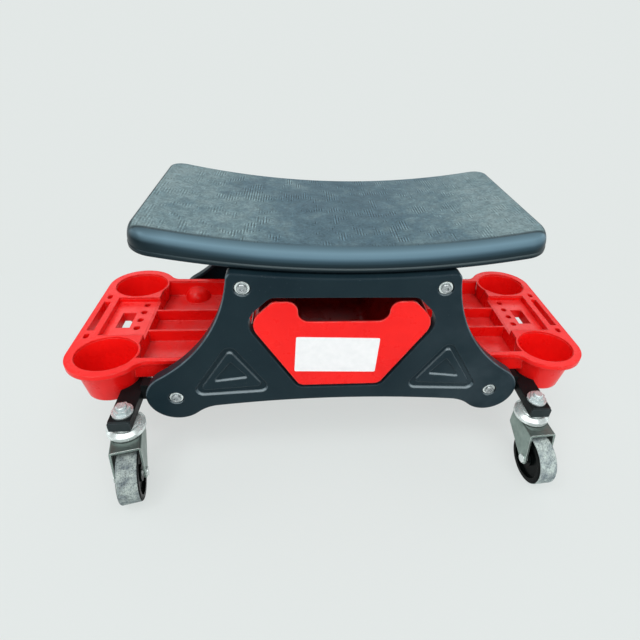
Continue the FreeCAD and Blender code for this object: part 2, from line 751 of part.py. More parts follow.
def notched(body):
    """Cut the finger notch through the drawer's end walls and round the horns beside it."""
    reach = DRAWER_HALF_Y + OVERRUN
    notch = block(-NOTCH_X, NOTCH_X, -reach, reach, NOTCH_Z, DRAWER_TOP_Z + NOTCH_RISE)
    body = body.cut(rounded(notch, AXIS_Y, NOTCH_CORNER))
    horns = []
    for edge in long_edges(body, AXIS_Y):
        place = edge.CenterOfMass
        if abs(abs(place.x) - NOTCH_X) < OVERRUN and place.z > DRAWER_TOP_Z - OVERRUN:
            horns.append(edge)
    return body.makeFillet(HORN_R, horns)


def drawer():
    """Open box with full-height ends, a finger notch in each and a stop rib below."""
    ends = notched(drawer_prism(0, DRAWER_TOP_Z, -DRAWER_HALF_Y, DRAWER_HALF_Y))
    inner_y = DRAWER_HALF_Y - DRAWER_WALL
    above = block(-OPEN_MID_X, OPEN_MID_X, -inner_y, inner_y, DRAWER_MOUTH_Z, DRAWER_TOP_Z + OVERRUN)
    body = ends.cut(drawer_prism(DRAWER_WALL, DRAWER_TOP_Z, -inner_y, inner_y)).cut(above)
    rib_front = -RAIL_BACK_Y + DRAWER_TRAVEL + RUN_GAP
    rib_z = RAIL_TOP + RUN_GAP
    rib = block(-STOP_W / 2, STOP_W / 2, rib_front, RAIL_BACK_Y - RUN_GAP, rib_z, DRAWER_BOTTOM_Z)
    return fuse([body, rib])


def drawer_label():
    """Thin plain label, stuck on slightly out of true."""
    plate = block(-LABEL_W / 2, LABEL_W / 2, -DRAWER_HALF_Y - LABEL_T, -DRAWER_HALF_Y,
                  -LABEL_H / 2, LABEL_H / 2)
    plate = rounded(plate, AXIS_Y, LABEL_CORNER)
    plate.rotate(Vec(0, 0, 0), AXIS_Y, LABEL_TILT)
    plate.translate(Vec(LABEL_X, 0, LABEL_Z))
    return plate


def drawer_runner():
    """Flat track on the rails with an outer lip along the drawer's slanted side."""
    slope = (DRAWER_MID_X - DRAWER_BOTTOM_X) / (DRAWER_MID_Z - DRAWER_BOTTOM_Z)
    foot = DRAWER_BOTTOM_X + RUNNER_GAP
    lip_x = foot + slope * RUNNER_LIP_H
    lip_z = RUNNER_TOP + RUNNER_LIP_H
    points = [(RUNNER_X, RAIL_TOP), (foot + RUNNER_LIP_T, RAIL_TOP), (foot + RUNNER_LIP_T, RUNNER_TOP),
              (lip_x + RUNNER_LIP_T, lip_z), (lip_x, lip_z), (foot, RUNNER_TOP), (RUNNER_X, RUNNER_TOP)]
    return side_prism(points, -RAIL_FACE_Y, RAIL_FACE_Y)


def save_drawer():
    save("drawer", drawer())
    save("drawer_label", drawer_label())
    save("drawer_runner_right", drawer_runner())
    save("drawer_runner_left", mirrored(drawer_runner()))


# Tool trays, built for the right side


def oval(radius, y, z):
    """Outline of a cup at one height: an oval that is flatter from front to back."""
    return Part.Wire([Part.Ellipse(Vec(CUP_X, y, z), radius, radius - CUP_FLAT).toShape()])


def oval_post(radius, y, z0, z1):
    return Part.Face(oval(radius, y, z0)).extrude(Vec(0, 0, z1 - z0))


def rim_plate(inset, z0, z1):
    """Plan of the tray rim: two cup rings, the outer rail and the bin block."""
    solids = []
    for y in (-CUP_Y, CUP_Y):
        solids.append(oval_post(CUP_R + CUP_RIM - inset, y, z0, z1))
    half = BIN_HALF_Y + BIN_RIM - inset
    solids.append(block(CUP_X, TRAY_OUTER_X - inset, -CUP_Y, CUP_Y, z0, z1))
    solids.append(block(BIN_INNER_X - BIN_RIM + inset, CUP_X, -half, half, z0, z1))
    body = fuse(solids)
    hollows = []
    for edge in long_edges(body, AXIS_Z):
        if abs(edge.BoundBox.YMin) > CUP_Y and edge.BoundBox.XMin > CUP_X - CUP_R - CUP_RIM:
            hollows.append(edge)
    return body.makeFillet(TRAY_BLEND + inset, hollows)


def cup_cone(grow, z0, z1, y):
    """Tapered cup body between two heights, grown by a wall."""
    def radius(z):
        share = (z - CUP_FLOOR_Z) / (TRAY_RIM_Z - CUP_FLOOR_Z)
        return CUP_FLOOR_R + (CUP_R - CUP_FLOOR_R) * share + grow
    return Part.makeLoft([oval(radius(z0), y, z0), oval(radius(z1), y, z1)], True, True)


def ledge_block(grow):
    """Space taken by the end tube under the cups, grown by a wall."""
    edge = CASTER_X + END_TUBE_W / 2 + CUP_LEDGE_GAP + grow
    return block(0, edge, -CASTER_Y, CASTER_Y, 0, END_TUBE_TOP + grow)


def cup_hollow(y):
    """Inside of one cup, over the ledge for the end tube and up past the rim."""
    space = cup_cone(0, CUP_FLOOR_Z + TRAY_FLOOR_T, TRAY_RIM_Z, y).cut(ledge_block(TRAY_FLOOR_T))
    return space.fuse(oval_post(CUP_R, y, TRAY_RIM_Z, TRAY_RIM_Z + OVERRUN))


def tool_cup(y):
    """Tapered cup that hangs from the rim plate and steps over the end tube."""
    body = cup_cone(TRAY_WALL, CUP_FLOOR_Z, TRAY_UNDER_Z, y).cut(ledge_block(0))
    return body.cut(cup_hollow(y))


def without_cups(shape):
    """Cut the room for both cups out of a neighbouring piece."""
    for y in (-CUP_Y, CUP_Y):
        shape = shape.cut(cup_cone(TRAY_WALL + TRAY_JOINT, CUP_FLOOR_Z, TRAY_RIM_Z, y))
    return shape


def bin_space():
    """Open inside of the bin box, round the cups."""
    wall = TRAY_WALL
    space = block(BIN_INNER_X + wall, DECK_INNER_X - wall, wall - BIN_HALF_Y, BIN_HALF_Y - wall, BIN_FLOOR_Z,
                  TRAY_RIM_Z + OVERRUN)
    for y in (-CUP_Y, CUP_Y):
        space = space.cut(cup_cone(TRAY_WALL, CUP_FLOOR_Z, TRAY_RIM_Z, y))
    return space


def deck_space():
    """Room over the tool deck, open towards the bins."""
    half = DECK_HALF_Y - TRAY_WALL
    return block(DECK_INNER_X - TRAY_WALL, RAIL_INNER_X, -half, half, TRAY_DECK_Z, TRAY_RIM_Z + OVERRUN)


def tool_holes():
    """Row of round tool holes and the square hole in the deck."""
    z0 = TRAY_DECK_Z - TRAY_DECK_T - OVERRUN
    z1 = TRAY_DECK_Z + OVERRUN
    half_x = SQUARE_LENGTH_X / 2
    half_y = SQUARE_LENGTH_Y / 2
    holes = [block(SQUARE_X - half_x, SQUARE_X + half_x, -half_y, half_y, z0, z1)]
    for step in range(TOOL_HOLE_COUNT):
        y = (step - (TOOL_HOLE_COUNT - 1) / 2) * TOOL_HOLE_PITCH
        holes.append(post(TOOL_HOLE_R, TOOL_HOLE_X, y, z0, z1))
    return holes


def rail_holes():
    """Long slot and two oval holes in the outer rail."""
    z0 = TRAY_RIM_Z - TRAY_RAIL_T - OVERRUN
    z1 = TRAY_RIM_Z + OVERRUN
    holes = [block(SLOT_X - SLOT_W / 2, SLOT_X + SLOT_W / 2, -SLOT_L / 2, SLOT_L / 2, z0, z1)]
    reach = OVAL_L / 2 - OVAL_R
    for y in (-OVAL_Y, OVAL_Y):
        holes.append(block(OVAL_X - OVAL_R, OVAL_X + OVAL_R, y - reach, y + reach, z0, z1))
        holes.append(post(OVAL_R, OVAL_X, y - reach, z0, z1))
        holes.append(post(OVAL_R, OVAL_X, y + reach, z0, z1))
    return holes


def tool_tray():
    """Rim plate with a turned-down lip and the outer rail between the cups."""
    lip_z = TRAY_RIM_Z - TRAY_LIP
    lip = rim_plate(0, lip_z, TRAY_UNDER_Z).cut(rim_plate(TRAY_LIP_T, lip_z - OVERRUN, TRAY_RIM_Z))
    rail = block(RAIL_INNER_X, TRAY_OUTER_X - TRAY_LIP_T, -CUP_Y, CUP_Y, TRAY_RIM_Z - TRAY_RAIL_T,
                 TRAY_UNDER_Z)
    body = fuse([rim_plate(0, TRAY_UNDER_Z, TRAY_RIM_Z), lip, without_cups(rail)])
    body = body.cut(bin_space()).cut(deck_space())
    for y in (-CUP_Y, CUP_Y):
        body = body.cut(cup_hollow(y))
    for hole in rail_holes():
        body = body.cut(hole)
    return body


def tool_deck():
    """Sunk deck between the cups with the tool holes."""
    deck = block(DECK_INNER_X, RAIL_INNER_X, -DECK_HALF_Y, DECK_HALF_Y, TRAY_DECK_Z - TRAY_DECK_T,
                 TRAY_UNDER_Z)
    deck = without_cups(deck.cut(deck_space()))
    for hole in tool_holes():
        deck = deck.cut(hole)
    return deck


def dome():
    """Round boss in the rear bin, grown into its floor and its back wall."""
    ball_r = (DOME_R ** 2 + DOME_H ** 2) / (2 * DOME_H)
    ball = Part.makeSphere(ball_r, Vec(DOME_X, DOME_Y, BIN_FLOOR_Z + DOME_H - ball_r))
    reach = DOME_R + OVERRUN
    back = BIN_HALF_Y - TRAY_WALL / 2
    room = block(DOME_X - reach, DOME_X + reach, DOME_Y - reach, back, BIN_FLOOR_Z - TRAY_FLOOR_T / 2,
                 TRAY_UNDER_Z)
    return ball.common(room)


def tool_bins():
    """Three bins with low dividers, on the end tube and the crossbar."""
    body = block(BIN_INNER_X, DECK_INNER_X, -BIN_HALF_Y, BIN_HALF_Y, RAIL_TOP, TRAY_UNDER_Z)
    space = bin_space()
    for y in (-BIN_DIVIDER_Y, BIN_DIVIDER_Y):
        half = TRAY_WALL / 2
        space = space.cut(block(BIN_INNER_X, DECK_INNER_X, y - half, y + half, BIN_FLOOR_Z, TRAY_DECK_Z))
    body = without_cups(body.cut(space).cut(deck_space()))
    for y in (-TRAY_SCREW_Y, TRAY_SCREW_Y):
        body = body.cut(post(TRAY_SCREW_R + SHAFT_FIT, CROSSBAR_X, y, RAIL_TOP - OVERRUN, TRAY_DECK_Z))
    return fuse([body, dome()])


def tray_screw(y):
    """Screw through the bin floor into the crossbar."""
    top = RAIL_TOP + TRAY_FLOOR_T
    head = post(TRAY_SCREW_HEAD_R, CROSSBAR_X, y, top, top + TRAY_SCREW_HEAD_H)
    rim = max(head.Edges, key=lambda e: e.BoundBox.ZMin)
    head = head.makeFillet(TRAY_SCREW_HEAD_H / 2, [rim])
    return fuse([head, post(TRAY_SCREW_R, CROSSBAR_X, y, RAIL_TOP - CROSSBAR_H, top)])


def save_trays():
    cups = group([tool_cup(-CUP_Y), tool_cup(CUP_Y)])
    pieces = {"tool_tray": tool_tray(), "tool_deck": tool_deck(), "tool_bins": tool_bins(), "tool_cups": cups}
    for name, shape in pieces.items():
        save(name + "_right", shape)
        save(name + "_left", mirrored(shape))
    screws = [tray_screw(-TRAY_SCREW_Y), tray_screw(TRAY_SCREW_Y)]
    save("tray_screws", group(screws + [mirrored(screw) for screw in screws]))


# Seat


def arc_height(x):
    """Rise of the seat's curve above its middle at a place along X."""
    return SEAT_ARC_R - math.sqrt(SEAT_ARC_R ** 2 - x ** 2)


def curved_slab(half_x, y0, y1, z0, z1):
    """Slab along the seat's saddle curve between two heights at the middle."""
    def rise(x, z):
        return Vec(x, y0, z + arc_height(x))
    low = Part.Arc(rise(-half_x, z0), rise(0, z0), rise(half_x, z0)).toShape()
    high = Part.Arc(rise(half_x, z1), rise(0, z1), rise(-half_x, z1)).toShape()
    right = Part.makeLine(rise(half_x, z0), rise(half_x, z1))
    left = Part.makeLine(rise(-half_x, z1), rise(-half_x, z0))
    return Part.Face(Part.Wire([low, right, high, left])).extrude(Vec(0, y1 - y0, 0))


def seat_block(inset, z0, z1):
    """Curved slab with rounded plan corners."""
    half_x = SEAT_HALF_X - inset
    half_y = SEAT_HALF_Y - inset
    plan = block(-half_x, half_x, -half_y, half_y, z0 - OVERRUN, z1 + SEAT_SAG + OVERRUN)
    plan = rounded(plan, AXIS_Z, SEAT_CORNER - inset)
    return plan.common(curved_slab(SEAT_HALF_X + OVERRUN, -SEAT_HALF_Y, SEAT_HALF_Y, z0, z1))


def top_edges(body, z_middle):
    """Edges of the upper outline of a seat slab."""
    found = []
    for edge in body.Edges:
        place = edge.CenterOfMass
        middle = edge.valueAt((edge.FirstParameter + edge.LastParameter) / 2)
        height = middle.z - arc_height(middle.x)
        flat = abs(edge.BoundBox.ZLength) < CUSHION_T / 2 or edge.BoundBox.XLength > SEAT_HALF_X
        if height > z_middle and flat and place.z > z_middle:
            found.append(edge)
    return found


def seat_cushion():
    """Pad with a big rolled upper edge and a small hem below."""
    top = CUSHION_BOTTOM_Z + CUSHION_T
    body = seat_block(0, CUSHION_BOTTOM_Z, top)
    return body.makeFillet(CUSHION_ROLL, top_edges(body, top - CUSHION_HEM))


def seat_base_pan():
    body = seat_block(PAN_INSET, SEAT_BOTTOM_Z, SEAT_BOTTOM_Z + PAN_T)
    for x, y in screw_places():
        top = SEAT_BOTTOM_Z + PAN_T + arc_height(x) + OVERRUN
        body = body.cut(post(SCREW_R + SHAFT_FIT, x, y, SEAT_BOTTOM_Z - OVERRUN, top))
    return body


def screw_places():
    reach = BRACKET_Y + BRACKET_T / 2 - BRACKET_FLANGE / 2
    return [(x, y) for x in (-SCREW_X, SCREW_X) for y in (-reach, reach)]


def seat_bracket():
    """Front bracket: upright web on the ties with a curved flange under the pan."""
    web_y0 = -BRACKET_Y - BRACKET_T / 2
    web_y1 = web_y0 + BRACKET_T
    flange_z = SEAT_BOTTOM_Z - SEAT_FIT
    flange = curved_slab(BRACKET_TOP_X, web_y0, web_y0 + BRACKET_FLANGE, flange_z - BRACKET_T, flange_z)
    edge_z = flange_z + arc_height(BRACKET_TOP_X)
    outline = [(BRACKET_TOP_X, edge_z), (BRACKET_BOTTOM_X, BRACKET_BOTTOM_Z)]
    web = side_prism(both_sides(outline), web_y0, web_y1)
    below = curved_slab(SEAT_HALF_X, web_y0, web_y1, BRACKET_BOTTOM_Z - SEAT_SAG, flange_z)
    body = fuse([web.common(below), flange])
    for x in (-UPPER_BOLT_X, UPPER_BOLT_X):
        body = body.cut(bar_y(TIE_R + SHAFT_FIT, x, UPPER_BOLT_Z, web_y0 - OVERRUN, web_y1 + BRACKET_FLANGE))
    for x, y in screw_places():
        if y < 0:
            body = body.cut(post(SCREW_R + SHAFT_FIT, x, y, BRACKET_BOTTOM_Z, SEAT_BOTTOM_Z + SEAT_SAG))
    return body


def seat_screw(x, y):
    under = SEAT_BOTTOM_Z - SEAT_FIT - BRACKET_T + arc_height(x - SCREW_HEAD_R) - RUN_GAP
    tip = SEAT_BOTTOM_Z + arc_height(x) + PAN_T / 2
    return fuse([post(SCREW_HEAD_R, x, y, under - SCREW_HEAD_H, under), post(SCREW_R, x, y, under, tip)])


def save_seat():
    save("seat_cushion", seat_cushion())
    save("seat_base_pan", seat_base_pan())
    save("seat_bracket_front", seat_bracket())
    save("seat_bracket_rear", half_turn(seat_bracket()))
    save("seat_screws", group([seat_screw(abs(x), y) if x > 0 else mirrored(seat_screw(-x, y))
                               for x, y in screw_places()]))


os.makedirs("parts", exist_ok=True)
save_casters()
save_frame()
save_panels()
save_drawer()
save_trays()
save_seat()
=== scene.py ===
import json
import math

import bmesh
import bpy
from mathutils import Matrix, Vector


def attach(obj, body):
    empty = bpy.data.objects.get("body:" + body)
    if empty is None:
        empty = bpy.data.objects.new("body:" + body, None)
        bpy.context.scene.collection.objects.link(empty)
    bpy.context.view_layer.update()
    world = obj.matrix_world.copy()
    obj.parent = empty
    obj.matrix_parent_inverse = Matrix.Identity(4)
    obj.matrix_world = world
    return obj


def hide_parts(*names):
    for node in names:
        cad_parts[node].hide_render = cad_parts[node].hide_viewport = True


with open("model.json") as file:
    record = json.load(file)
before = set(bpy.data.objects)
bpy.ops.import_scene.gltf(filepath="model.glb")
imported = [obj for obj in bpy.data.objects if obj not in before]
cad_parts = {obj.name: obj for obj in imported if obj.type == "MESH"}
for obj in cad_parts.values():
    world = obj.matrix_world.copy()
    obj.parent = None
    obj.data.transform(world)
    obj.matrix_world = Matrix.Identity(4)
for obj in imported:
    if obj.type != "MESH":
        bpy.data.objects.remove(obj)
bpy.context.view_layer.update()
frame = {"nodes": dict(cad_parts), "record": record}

# Seat pad in metres: outline, saddle curve and edge roll, the same as the solid that it replaces
SEAT_HALF_X = 0.227
SEAT_HALF_Y = 0.113
SEAT_SAG = 0.0243
SEAT_CORNER = 0.025
SEAT_LEAST_CORNER = 0.006
SEAT_ARC_R = (SEAT_HALF_X ** 2 + SEAT_SAG ** 2) / (2 * SEAT_SAG)
PAD_BOTTOM = 0.2826
PAD_THICK = 0.0198
PAD_ROLL_DEEP = 0.0175
PAD_ROLL_FULL = 2.15
PAD_ROLL_STEPS = 16
PAD_BACK_SHARE = 0.35
PAD_SIDE_SHARE = 0.50
PAD_FACE_STEPS = (0.003, 0.007)
PAD_CROWN = 0.0008
PAD_CROWN_REACH = 0.06
PAD_RING_POINTS = 288

# Rings under the pad and round its skirt and hem, as inset and height above the underside
PAD_SKIRT = 0.0055
HEM_TOP = -0.0006
HEM_OUT = 0.0007
HEM_HIGH = 0.0006
HEM_RINGS = (
    (0.020, 0.0), (0.004, 0.0), (0.0016, 0.0), (0.0013, -0.0004),
    (0.0013, 0.0006 - PAD_SKIRT), (0.0010, -PAD_SKIRT), (0.0003, -PAD_SKIRT), (0.0, 0.0004 - PAD_SKIRT),
    (0.0, HEM_TOP - 0.0004), (0.0002, HEM_TOP), (HEM_OUT, HEM_TOP + 0.0001), (HEM_OUT, HEM_TOP + 0.0003),
)

# Distances from the pad's outline over which the grain of its sitting face sets in
GRAIN_FRONT = (0.0125, 0.0180)
GRAIN_BACK = (0.0008, 0.0035)
GRAIN_SIDE = (0.0028, 0.0080)

# Colours of the sitting face from dark to pale clouds
SEAT_FACE_TONES = (
    (0.24, (0.030, 0.062, 0.084)), (0.46, (0.052, 0.094, 0.116)),
    (0.66, (0.106, 0.160, 0.172)), (0.88, (0.158, 0.212, 0.216)),
)

# Colours of the edge roll by the share of the way down from the sitting face to the skirt's foot: a painted
# highlight band high up, painted shade below it, and a painted highlight on the hem line
SEAT_ROLL_PAINTED_LIGHT = (
    (0.0, (0.052, 0.092, 0.114)), (0.07, (0.080, 0.133, 0.164)), (0.19, (0.110, 0.184, 0.228)),
    (0.36, (0.094, 0.162, 0.206)), (0.50, (0.033, 0.062, 0.083)), (0.64, (0.009, 0.018, 0.023)),
    (0.775, (0.004, 0.007, 0.009)), (0.80, (0.060, 0.074, 0.076)), (0.835, (0.045, 0.056, 0.058)),
    (0.86, (0.006, 0.010, 0.012)), (1.0, (0.004, 0.007, 0.009)),
)
SEAT_ROLL_SHADE = (0.006, 0.011, 0.013)
SEAT_GLOSS_TINT = (0.50, 0.82, 1.0, 1.0)
RIB_SCALE = 100.0

# Panel bolts as |x| and z, and the radius of the painted highlight on the seat round each
BOLTS = ((0.1110, 0.2627), (0.1984, 0.1043))
BOLT_RING = 0.0105

# Sides of the embossed triangles: weights of |x| and z, and the reach that their sum stays below
TRIANGLE_SIDES = ((0.850, 0.527, 0.2125), (-0.843, 0.538, -0.0063), (-0.054, -0.998, -0.1152))

# Tones of the side panels, with painted highlights for the flank edges and the upward ledges, and the x over
# which a painted light makes the panels paler towards the right
PANEL_DARK = (0.0060, 0.0165, 0.0235)
PANEL_MID = (0.0105, 0.0240, 0.0310)
PANEL_RUBBED = (0.062, 0.092, 0.108)
PANEL_SPECKS = (0.090, 0.110, 0.120)
PANEL_RIGHT_LIGHT = (0.036, 0.054, 0.066)
PANEL_FLANK_HIGHLIGHT = (0.120, 0.165, 0.190)
PANEL_LEDGE_HIGHLIGHT = (0.330, 0.400, 0.430)
PANEL_LEDGE_HIGHLIGHT_SHARE = 0.75
PANEL_RIGHT_LIGHT_X = (0.06, 0.24)

# Reach of the drawer's inner faces where shade is painted, and the z and outward x of their normals
DRAWER_INSIDE_X = 0.1130
DRAWER_INSIDE_Y = 0.1177
DRAWER_LEAST_RISE = -0.2
DRAWER_MOST_OUT = 0.004

# Heights of the dust in the trays, the |x| beyond which the pale edges, partly wear and partly painted
# highlight, grow fainter, and tones of the red, with the painted shade inside the drawer
TRAY_DUST_TOP = 0.1385
TRAY_DECK_FOOT = 0.1200
TRAY_WEAR_AND_HIGHLIGHT_X = (0.11, 0.14)
RED_DRAWER_SHADE = (0.085, 0.0030, 0.0030)
RED_DUST_DEEP = (0.72, 0.052, 0.050)
RED_DUST_PALE = (0.95, 0.060, 0.056)

# Tones of the zinc plate, with soot and painted shade on upward faces, and of the tyres, whose dark sides are
# black rubber and painted shade
ZINC_GRIME = (0.10, 0.115, 0.105)
ZINC_SOOT_AND_SHADE = (0.045, 0.055, 0.050)
ZINC_RUBBED = (0.90, 0.94, 0.92)
TYRE_SPECKS = ((0.05, (0.15, 0.17, 0.17)), (0.30, (0.38, 0.44, 0.42)), (0.62, (0.54, 0.62, 0.59)))
TYRE_CLOUDS = ((0.36, (0.36, 0.38, 0.43)), (0.60, (1.0, 1.0, 1.0)))
TYRE_SMEAR = (0.15, 0.165, 0.175)
TYRE_SIDE_BLACK_AND_SHADE = (0.0022, 0.0038, 0.0038)

# Orange peel of the mouldings, and how far a normal turns from a flat to a sharp edge
PEEL_SCALE = 900.0
PEEL_DEPTH = 0.0004
EDGE_FLAT = 0.98
EDGE_SHARP = 0.78
BEVEL_SAMPLES = 4

# Camera of the photograph: focal length and centre in pixels of a 640 pixel frame
FRAME_PX = 640
FOCAL_PX = 446.0
CENTRE_PX = (342.0, 279.0)
SENSOR_MM = 36.0
CLIP_START = 0.02
CAMERA_PLACE = (-0.057, -0.521, 0.523)
CAMERA_YAW = math.radians(7.30)
CAMERA_PITCH = math.radians(31.58)
CAMERA_ROLL = math.radians(3.88)

# Studio: tones of the backdrop and floor, how the floor runs out into the backdrop, and the lamps' tones
BACKDROP_COLOUR = (0.765, 0.805, 0.795)
FLOOR_COLOUR = (0.68, 0.72, 0.71)
FLOOR_REACH = 9.0
FLOOR_FADE = (0.25, 0.75)
FLOOR_SHARE = (0.72, 1.0)
WORLD_LIGHT = 0.26
LIGHT_TARGET = (0.0, 0.0, 0.18)
WHITE = (1.0, 1.0, 1.0)
COOL = (0.96, 0.99, 1.0)
COOLER = (0.94, 0.99, 1.0)


# Material helpers


class Shade:
    """A node material with a principled shader and short calls for the usual nodes."""

    def __init__(self, name, roughness=0.5, metallic=0.0, specular=0.5):
        self.mat = bpy.data.materials.new(name)
        self.mat.use_nodes = True
        self.tree = self.mat.node_tree
        self.shader = self.tree.nodes["Principled BSDF"]
        self.shader.inputs["Roughness"].default_value = roughness
        self.shader.inputs["Metallic"].default_value = metallic
        self.shader.inputs["Specular IOR Level"].default_value = specular
        coords = self.add("ShaderNodeTexCoord")
        self.place = coords.outputs["Object"]
        self.turned = coords.outputs["Normal"]

    def add(self, kind, **settings):
        node = self.tree.nodes.new(kind)
        for key, value in settings.items():
            setattr(node, key, value)
        return node

    def join(self, source, target):
        self.tree.links.new(source, target)

    def split(self, vector):
        """The x, y and z of a vector."""
        node = self.add("ShaderNodeSeparateXYZ")
        self.join(vector, node.inputs["Vector"])
        return node.outputs["X"], node.outputs["Y"], node.outputs["Z"]

    def stretched(self, x, y, z):
        node = self.add("ShaderNodeMapping")
        node.inputs["Scale"].default_value = (x, y, z)
        self.join(self.place, node.inputs["Vector"])
        return node.outputs["Vector"]

    def noise(self, scale, detail=3.0, rough=0.55, vector=None):
        node = self.add("ShaderNodeTexNoise")
        node.inputs["Scale"].default_value = scale
        node.inputs["Detail"].default_value = detail
        node.inputs["Roughness"].default_value = rough
        self.join(vector or self.place, node.inputs["Vector"])
        return node.outputs["Fac"]

    def cells(self, scale, feature="F1"):
        node = self.add("ShaderNodeTexVoronoi", feature=feature)
        node.inputs["Scale"].default_value = scale
        self.join(self.place, node.inputs["Vector"])
        return node.outputs["Distance"]

    def ramp(self, fac, stops):
        """Colour ramp through (position, colour) stops."""
        node = self.add("ShaderNodeValToRGB")
        elements = node.color_ramp.elements
        while len(elements) < len(stops):
            elements.new(0.5)
        for element, (place, colour) in zip(elements, stops):
            element.position = place
            element.color = (*colour, 1.0)
        self.join(fac, node.inputs["Fac"])
        return node.outputs["Color"]

    def levels(self, fac, start, end, low=0.0, high=1.0):
        """Straight rise from low at the start to high at the end, level beyond both."""
        node = self.add("ShaderNodeMapRange")
        for key, value in (("From Min", start), ("From Max", end), ("To Min", low), ("To Max", high)):
            node.inputs[key].default_value = value
        self.join(fac, node.inputs["Value"])
        return node.outputs["Result"]

    def clouds(self, scale, detail, low=0.0, high=1.0, rough=0.55, start=0.3, end=0.7, vector=None):
        """Noise spread from a low to a high value."""
        return self.levels(self.noise(scale, detail, rough, vector), start, end, low, high)

    def maths(self, operation, first, second):
        node = self.add("ShaderNodeMath", operation=operation)
        for socket, value in zip(node.inputs, (first, second)):
            if isinstance(value, (int, float)):
                socket.default_value = value
            else:
                self.join(value, socket)
        return node.outputs["Value"]

    def times(self, first, *others):
        for other in others:
            first = self.maths("MULTIPLY", first, other)
        return first

    def plus(self, first, second):
        return self.maths("ADD", first, second)

    def minus(self, first, second):
        return self.maths("SUBTRACT", first, second)

    def most(self, first, second):
        return self.maths("MAXIMUM", first, second)

    def size(self, value):
        return self.maths("ABSOLUTE", value, 0.0)

    def below(self, value, limit):
        return self.maths("LESS_THAN", value, limit)

    def above(self, value, limit):
        return self.maths("GREATER_THAN", value, limit)

    def mix(self, fac, first, second, blend="MIX"):
        node = self.add("ShaderNodeMix", data_type="RGBA", blend_type=blend)
        for key, value in (("Factor", fac), ("A", first), ("B", second)):
            socket = [s for s in node.inputs if s.name == key and s.enabled][0]
            if isinstance(value, (int, float)):
                socket.default_value = value
            elif isinstance(value, tuple):
                socket.default_value = (*value, 1.0)
            else:
                self.join(value, socket)
        return [s for s in node.outputs if s.enabled][0]

    def tinted(self, colour, tint):
        return self.mix(1.0, colour, tint, "MULTIPLY")

    def edges(self, radius):
        """How far the surface turns within a small radius, one on an edge, and the rounded normal."""
        bevel = self.add("ShaderNodeBevel", samples=BEVEL_SAMPLES)
        bevel.inputs["Radius"].default_value = radius
        flat = self.add("ShaderNodeNewGeometry")
        dot = self.add("ShaderNodeVectorMath", operation="DOT_PRODUCT")
        self.join(bevel.outputs["Normal"], dot.inputs[0])
        self.join(flat.outputs["Normal"], dot.inputs[1])
        return self.levels(dot.outputs["Value"], EDGE_FLAT, EDGE_SHARP), bevel.outputs["Normal"]

    def bump(self, height, strength, distance, normal=None):
        node = self.add("ShaderNodeBump")
        node.inputs["Strength"].default_value = strength
        node.inputs["Distance"].default_value = distance
        self.join(height, node.inputs["Height"])
        if normal is not None:
            self.join(normal, node.inputs["Normal"])
        return node.outputs["Normal"]

    def colour(self, source):
        self.join(source, self.shader.inputs["Base Color"])

    def rough(self, source):
        self.join(source, self.shader.inputs["Roughness"])

    def normal(self, source):
        self.join(source, self.shader.inputs["Normal"])


# Finishes


def moulded_plastic(name, dark, mid, edge, rough, bump, round_edge, specular=0.5, end_wear_and_highlight=1.0):
    """Moulded plastic: cloudy colour, fine orange peel and scuffed pale edges, which on the red are partly a
    painted highlight, less pale at the ends.
    """
    s = Shade(name, specular=specular)
    base = s.ramp(s.noise(scale=14.0, detail=5.0), ((0.32, dark), (0.70, mid)))
    wear, round_normal = s.edges(round_edge)
    patch = s.clouds(scale=95.0, detail=4.0, low=0.2, high=1.0, start=0.35, end=0.75)
    across = s.size(s.split(s.place)[0])
    patch = s.times(patch, s.levels(across, *TRAY_WEAR_AND_HIGHLIGHT_X, low=1.0, high=end_wear_and_highlight))
    s.colour(s.mix(s.times(wear, patch), base, edge))
    s.rough(s.clouds(scale=60.0, detail=6.0, low=rough[0], high=rough[1]))
    s.normal(s.bump(s.noise(PEEL_SCALE, detail=2.0), bump, PEEL_DEPTH, round_normal))
    return s


def in_triangle(s):
    """One inside the embossed triangles of the panels, zero outside."""
    x, _, z = s.split(s.place)
    across = s.size(x)
    kept = []
    for weight_x, weight_z, reach in TRIANGLE_SIDES:
        total = s.plus(s.times(across, weight_x), s.times(z, weight_z))
        kept.append(s.below(total, reach))
    return s.times(*kept)


def near_bolts(s):
    """One in a small disc round each panel bolt, zero elsewhere."""
    x, _, z = s.split(s.place)
    across = s.size(x)
    near = 0.0
    for bolt_x, bolt_z in BOLTS:
        side = s.maths("POWER", s.minus(across, bolt_x), 2.0)
        rise = s.maths("POWER", s.minus(z, bolt_z), 2.0)
        near = s.most(near, s.below(s.plus(side, rise), BOLT_RING ** 2))
    return near


def flank_edge(s):
    """One on the rounded edge between a panel's face and its upturned flanks, zero on the flats: where a
    highlight is painted.
    """
    x, y, z = s.split(s.turned)
    side = s.levels(s.size(x), start=0.20, end=0.45)
    front = s.levels(s.size(y), start=0.15, end=0.45)
    return s.times(side, front, s.levels(z, start=0.02, end=0.15))


